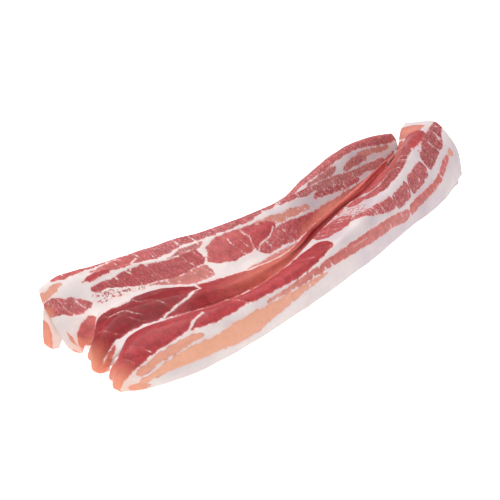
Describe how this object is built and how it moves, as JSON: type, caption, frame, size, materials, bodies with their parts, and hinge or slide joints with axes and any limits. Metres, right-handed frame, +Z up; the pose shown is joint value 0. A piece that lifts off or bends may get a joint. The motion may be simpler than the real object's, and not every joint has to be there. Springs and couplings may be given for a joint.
{
  "type": "bundle of raw bacon rashers",
  "caption": "Bundle of raw streaky bacon rashers, layered in long loose ridges with drooping near ends, lying flat for a tray, board or pan",
  "frame": {"origin": "centre of the bounding box at the table plane", "axes": "+X along the rashers towards the raised end, -Y towards the long foot of the front rasher, +Z up"},
  "size_m": [0.2787, 0.0836, 0.033],
  "materials": {
    "raw_bacon": "moist raw meat with pale fat bands, satin to wet gloss",
    "raw_bacon_inside": "moist raw meat, edges of stacked rashers"
  },
  "bodies": {
    "root": {"rasher_front": "raw_bacon", "rasher_front_under": "raw_bacon", "rasher_middle": "raw_bacon", "rasher_middle_under": "raw_bacon", "rasher_back": "raw_bacon", "rasher_back_under": "raw_bacon", "rasher_back_low": "raw_bacon", "rashers_within": "raw_bacon_inside"}
  },
  "joints": []
}
